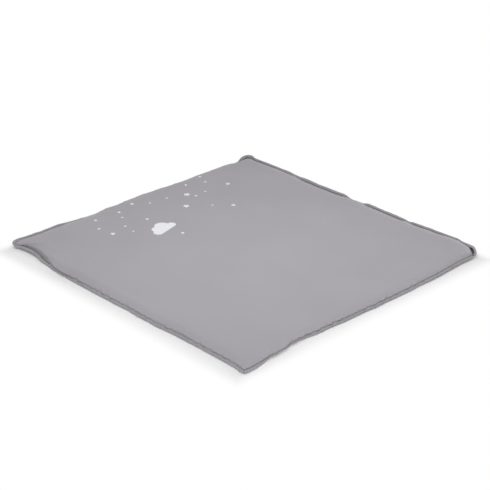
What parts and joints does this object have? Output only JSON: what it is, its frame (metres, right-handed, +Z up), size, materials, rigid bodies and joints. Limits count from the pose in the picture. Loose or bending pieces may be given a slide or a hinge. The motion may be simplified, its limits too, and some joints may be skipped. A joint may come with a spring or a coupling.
{
  "type": "changing pad",
  "caption": "Thin, nearly square padded changing mat with a foam core, wipe-clean fabric panels, bound edges and a small cloud and star print.",
  "frame": {"origin": "middle of the underside, on the surface that the pad lies on", "axes": "+X along the printed picture from left to right, +Y from the front edge to the printed back edge, +Z up"},
  "size_m": [0.705, 0.72, 0.0132],
  "materials": {
    "foam": "open-cell polyurethane foam, matte",
    "top_fabric": "coated wipe-clean fabric, satin",
    "bottom_fabric": "coated wipe-clean fabric, satin",
    "binding_fabric": "coated wipe-clean fabric, satin",
    "thread": "polyester sewing thread",
    "print_ink": "matte white transfer print"
  },
  "bodies": {
    "root": {"foam_core": "foam", "bottom_panel": "bottom_fabric", "top_panel": "top_fabric", "binding_front": "binding_fabric", "binding_right": "binding_fabric", "binding_back": "binding_fabric", "binding_left": "binding_fabric", "needle_thread": "thread", "bobbin_thread": "thread", "cloud_print": "print_ink", "star_prints": "print_ink"}
  },
  "joints": []
}
